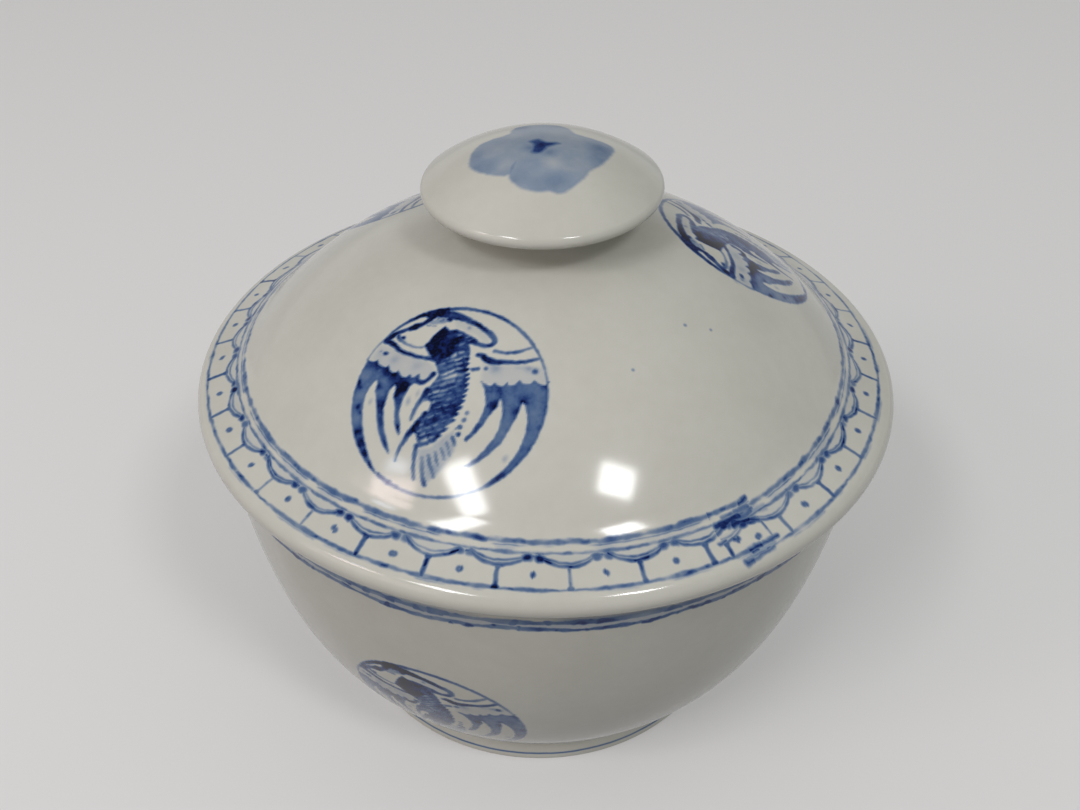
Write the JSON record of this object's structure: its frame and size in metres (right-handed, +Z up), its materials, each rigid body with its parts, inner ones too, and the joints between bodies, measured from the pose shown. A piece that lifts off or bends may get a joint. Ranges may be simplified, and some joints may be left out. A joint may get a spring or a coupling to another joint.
{
  "type": "lidded bowl",
  "caption": "Lidded donburi bowl of glazed porcelain: deep round bowl on a turned foot, domed lid with a rolled rim and a broad knob, blue roundels and a tortoise-shell border.",
  "frame": {"origin": "middle of the foot ring's standing face", "axes": "+Z up along the bowl's axis, the way the lid lifts; the front of the picture is towards -Y"},
  "size_m": [0.1606, 0.1606, 0.1427],
  "materials": {
    "porcelain": "clear glossy glaze over milky warm white porcelain, with cobalt blue painted and printed under the glaze"
  },
  "bodies": {
    "root": {"bowl": "porcelain"},
    "lid": {"lid": "porcelain", "lid_knob": "porcelain"}
  },
  "joints": [
    {"name": "lid_lift", "type": "slide", "parent": "root", "child": "lid", "axis": [0, 0, 1], "range_m": [0, 0.08]}
  ]
}
